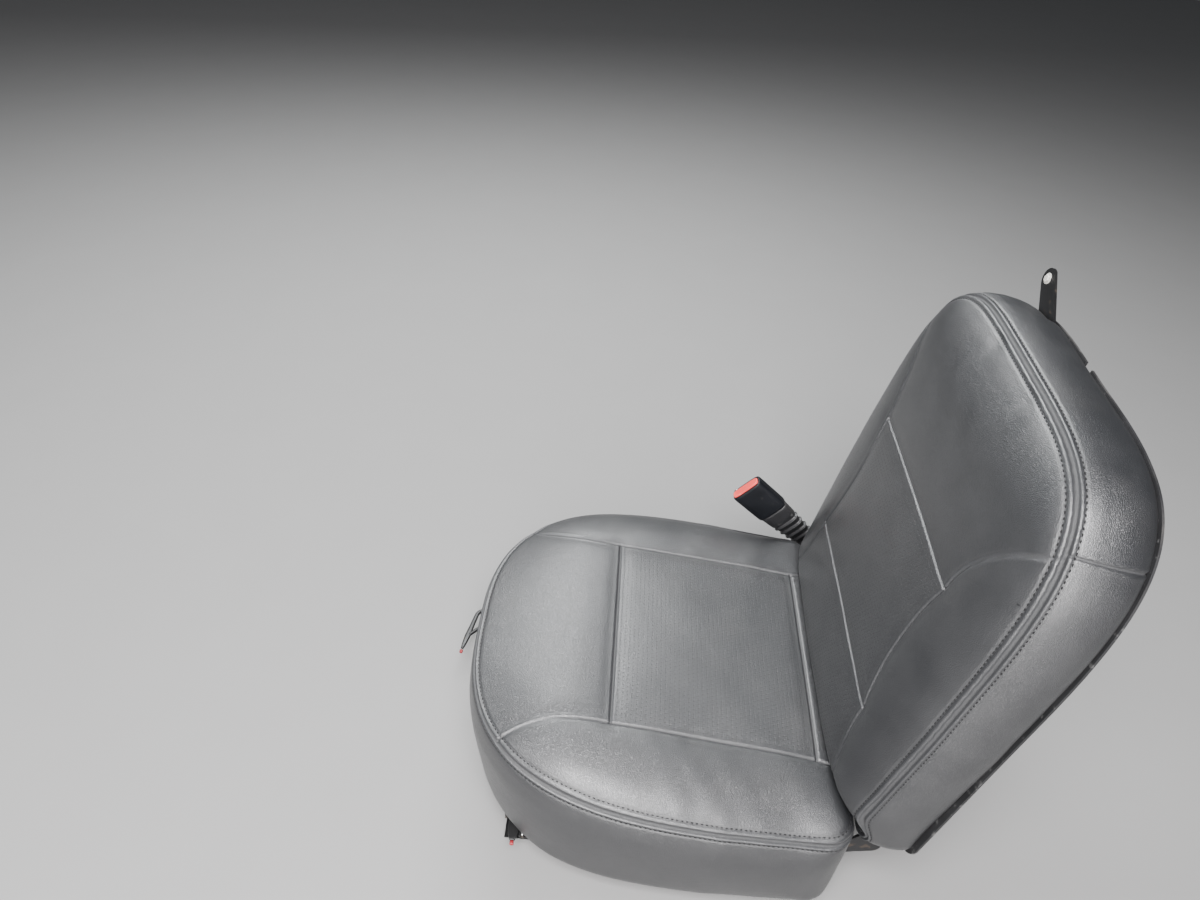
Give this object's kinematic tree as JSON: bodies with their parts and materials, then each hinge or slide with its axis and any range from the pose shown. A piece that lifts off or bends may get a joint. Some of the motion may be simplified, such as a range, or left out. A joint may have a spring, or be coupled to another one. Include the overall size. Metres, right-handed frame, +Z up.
{
  "type": "kei truck passenger seat",
  "caption": "Low fixed-back passenger seat with black vinyl cover, tubular frame on floor rails, belt buckle stalk and a strap that bolts the backrest to the cab wall.",
  "frame": {"origin": "centre of the four floor bolt holes, on the floor", "axes": "+Z up, -Y to the front of the vehicle, +X to the door side"},
  "size_m": [0.527, 0.6516, 0.6678],
  "materials": {
    "vinyl": "black grained vinyl, satin",
    "back_board": "black moulded board",
    "black_steel": "black paint, semi gloss, rust at edges",
    "zinc_steel": "yellow zinc plate",
    "rubber": "black rubber",
    "boot_plastic": "black soft plastic",
    "buckle_plastic": "black grained plastic",
    "red_plastic": "red plastic"
  },
  "bodies": {
    "base": {"floor_rail_outer": "black_steel", "floor_rail_inner": "black_steel", "front_bar": "black_steel", "rear_bar": "black_steel", "rear_rests": "rubber", "hinge_pins": "zinc_steel", "outer_lever": "black_steel", "outer_lever_bracket": "black_steel", "outer_lever_tip": "red_plastic", "inner_lever": "black_steel", "inner_lever_tip": "red_plastic"},
    "seat": {"hinge_ears": "black_steel", "cushion_frame": "black_steel", "rear_tube": "black_steel", "cushion_springs": "zinc_steel", "side_plate_outer": "black_steel", "side_plate_inner": "black_steel", "side_bolts": "zinc_steel", "cushion_pad": "vinyl", "backrest_hoop": "black_steel", "backrest_pad": "vinyl", "back_panel": "back_board", "wall_strap": "black_steel", "buckle_bracket": "black_steel", "buckle_anchor_bolt": "zinc_steel"},
    "buckle": {"buckle_stalk": "zinc_steel", "buckle_boot": "boot_plastic", "buckle_body": "buckle_plastic", "buckle_button": "red_plastic"}
  },
  "joints": [
    {"name": "seat_tip", "type": "hinge", "parent": "base", "child": "seat", "pos_m": [0, -0.205, 0.06], "axis": [1, 0, 0], "range_deg": [0, 40]},
    {"name": "buckle_swing", "type": "hinge", "parent": "seat", "child": "buckle", "pos_m": [-0.266, 0.23, 0.124], "axis": [-1, 0, 0], "range_deg": [-25, 35]}
  ]
}
